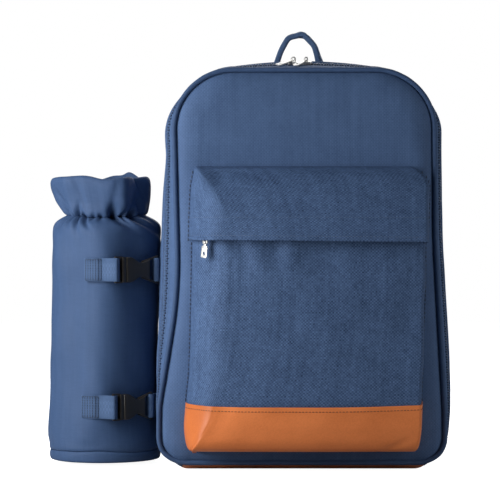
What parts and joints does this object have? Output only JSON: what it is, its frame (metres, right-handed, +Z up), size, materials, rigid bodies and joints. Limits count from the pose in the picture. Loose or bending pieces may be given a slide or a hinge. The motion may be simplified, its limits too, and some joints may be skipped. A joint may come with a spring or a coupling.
{
  "type": "picnic backpack with bottle sleeve",
  "caption": "Navy picnic backpack with a zipped main compartment, a flap-covered front pocket with tan trim and an insulated bottle sleeve buckled to its side.",
  "frame": {"origin": "middle of the flat base that the pack stands on", "axes": "+Z up, front pocket faces -Y, bottle sleeve hangs on the -X side"},
  "size_m": [0.4185, 0.2433, 0.4533],
  "materials": {
    "navy_polyester": "coarse two-tone woven polyester",
    "navy_nylon": "fine smooth woven nylon",
    "navy_webbing": "ribbed webbing",
    "navy_zip": "zip tape with nylon coil",
    "tan_leather": "grained leather-look, stitched",
    "black_plastic": "moulded black plastic",
    "nickel": "nickel-plated zip hardware"
  },
  "bodies": {
    "pack": {"front_gusset": "navy_polyester", "rear_gusset": "navy_polyester", "front_panel": "navy_polyester", "back_panel": "navy_polyester", "pocket_body": "navy_polyester", "pocket_flap": "navy_polyester", "shoulder_strap_left": "navy_polyester", "shoulder_strap_right": "navy_polyester", "front_piping": "navy_nylon", "sleeve_body": "navy_nylon", "sleeve_collar": "navy_nylon", "sleeve_base": "navy_nylon", "haul_handle": "navy_webbing", "sleeve_webbing_upper": "navy_webbing", "sleeve_webbing_lower": "navy_webbing", "pack_webbing_upper": "navy_webbing", "pack_webbing_lower": "navy_webbing", "strap_webbing_left": "navy_webbing", "strap_webbing_right": "navy_webbing", "main_zip": "navy_zip", "pocket_zip": "navy_zip", "base_panel": "tan_leather", "pocket_trim": "tan_leather", "male_buckle_upper": "black_plastic", "male_buckle_lower": "black_plastic", "female_buckle_upper": "black_plastic", "female_buckle_lower": "black_plastic", "strap_adjuster_left": "black_plastic", "strap_adjuster_right": "black_plastic", "top_slider_left": "nickel", "top_slider_right": "nickel", "pocket_slider": "nickel"},
    "top_pull_left": {"top_pull_left": "nickel"},
    "top_pull_right": {"top_pull_right": "nickel"},
    "pocket_pull": {"pocket_pull": "nickel"}
  },
  "joints": [
    {"name": "top_pull_left_swing", "type": "hinge", "parent": "pack", "child": "top_pull_left", "pos_m": [-0.01, -0.03302, 0.41603], "axis": [-0.7071, 0.6871, 0.1669], "range_deg": [0, 140]},
    {"name": "top_pull_right_swing", "type": "hinge", "parent": "pack", "child": "top_pull_right", "pos_m": [0.003, -0.03302, 0.41603], "axis": [-0.866, 0.4859, 0.118], "range_deg": [0, 140]},
    {"name": "pocket_pull_swing", "type": "hinge", "parent": "pack", "child": "pocket_pull", "pos_m": [-0.09774, -0.11022, 0.23], "axis": [-0.7193, 0.6947, 0], "range_deg": [0, 85]}
  ]
}
